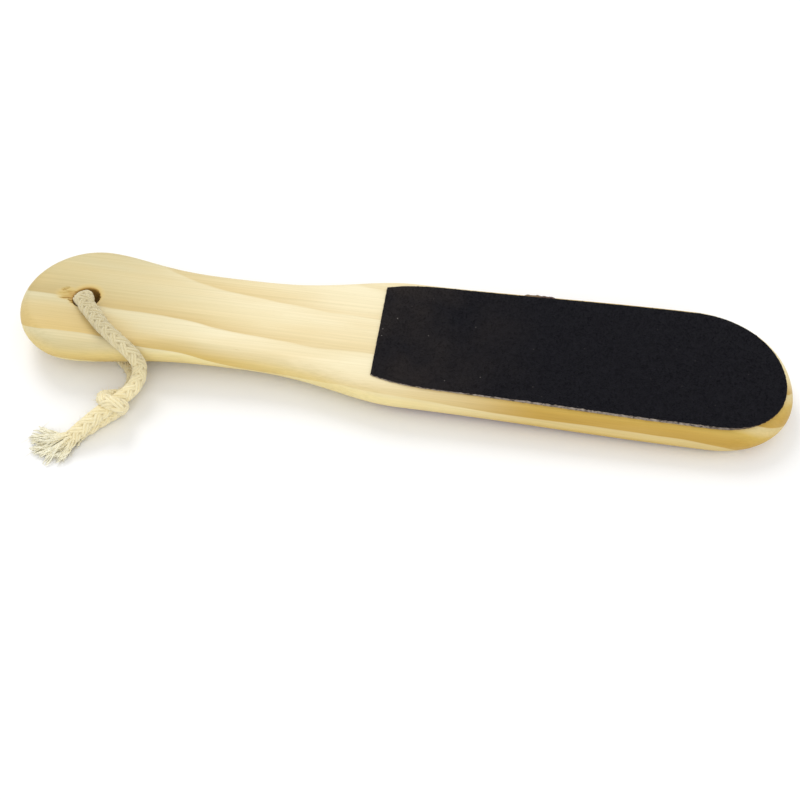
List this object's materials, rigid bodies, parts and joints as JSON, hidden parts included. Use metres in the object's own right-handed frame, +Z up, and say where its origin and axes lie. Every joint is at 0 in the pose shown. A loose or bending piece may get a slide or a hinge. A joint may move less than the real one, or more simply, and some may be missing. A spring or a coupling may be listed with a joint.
{
  "type": "foot file",
  "caption": "Two-sided wooden foot file: a paddle with a coarse black and a fine red abrasive sheet and a knotted cotton hanging loop.",
  "frame": {"origin": "centre of the file's bounding box, without the cord, on the surface that it lies on", "axes": "+X along the paddle towards its head, +Z up through the black sheet; the paddle is tilted by 1.246 degrees about Y, because its handle lies on the loop's lower strand"},
  "size_m": [0.2662, 0.092, 0.0208],
  "materials": {
    "wood": "pale sanded softwood with soft growth bands, unvarnished",
    "glue": "thin dried glue film",
    "black_backing": "grey abrasive cloth backing with a slightly ragged cut edge",
    "black_grit": "coarse dark abrasive grains in a resin coat",
    "red_backing": "reddish abrasive cloth backing",
    "red_grit": "fine crimson abrasive grains in a resin coat",
    "cord": "cream plaited cotton, soft, frayed at both cut ends"
  },
  "bodies": {
    "file": {"wood_paddle": "wood", "black_glue": "glue", "black_backing": "black_backing", "black_grit": "black_grit", "red_glue": "glue", "red_backing": "red_backing", "red_grit": "red_grit"},
    "loop": {"cord_over_handle": "cord", "cord_under_handle": "cord", "cord_knot": "cord", "long_frayed_end": "cord", "short_frayed_end": "cord"}
  },
  "joints": [
    {"name": "loop_swing", "type": "hinge", "parent": "file", "child": "loop", "pos_m": [-0.10937, -0.0012, 0.01064], "axis": [0.0217, 0, 0.9998], "range_deg": [-240, 0]}
  ]
}
